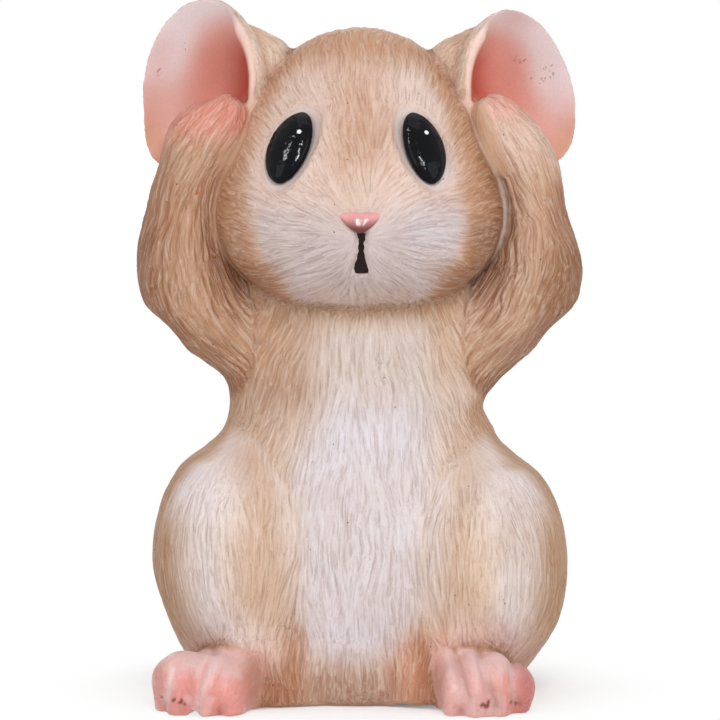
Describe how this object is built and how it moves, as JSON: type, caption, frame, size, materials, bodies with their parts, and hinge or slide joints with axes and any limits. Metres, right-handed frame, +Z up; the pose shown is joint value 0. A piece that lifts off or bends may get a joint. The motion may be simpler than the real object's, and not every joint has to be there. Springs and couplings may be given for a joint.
{
  "type": "mouse figurine",
  "caption": "Sitting mouse figurine in painted cast resin that presses its paws over its ears, with tooled fur, glossy eyes and pink feet.",
  "frame": {"origin": "centre of the felt's underside, on the surface that the figurine stands on", "axes": "+Z up, the mouse faces -Y, its own left side is at +X"},
  "size_m": [0.0958, 0.0865, 0.1499],
  "materials": {
    "fur_casting": "cold-cast polyresin, hand-painted matt tan with white chest and cheeks",
    "ear_casting": "cold-cast polyresin, painted tan outside and airbrushed pink inside",
    "foot_casting": "cold-cast polyresin, painted pink",
    "tail_casting": "cold-cast polyresin, painted pink",
    "eye": "glossy black enamel",
    "catchlight": "dot of white enamel",
    "nose": "glossy pink enamel",
    "mouth": "dark brown paint",
    "plug": "bare resin",
    "felt": "dark felt",
    "steel_pin": "bright wire"
  },
  "bodies": {
    "root": {"body_shell": "fur_casting", "head_shell": "fur_casting", "left_arm": "fur_casting", "right_arm": "fur_casting", "left_haunch": "fur_casting", "right_haunch": "fur_casting", "left_ear": "ear_casting", "right_ear": "ear_casting", "left_foot": "foot_casting", "right_foot": "foot_casting", "tail": "tail_casting", "left_eye": "eye", "right_eye": "eye", "left_catchlight": "catchlight", "right_catchlight": "catchlight", "nose": "nose", "mouth_inlay": "mouth", "base_plug": "plug", "felt_base": "felt", "left_shoulder_pin": "steel_pin", "right_shoulder_pin": "steel_pin", "tail_pin": "steel_pin"}
  },
  "joints": []
}
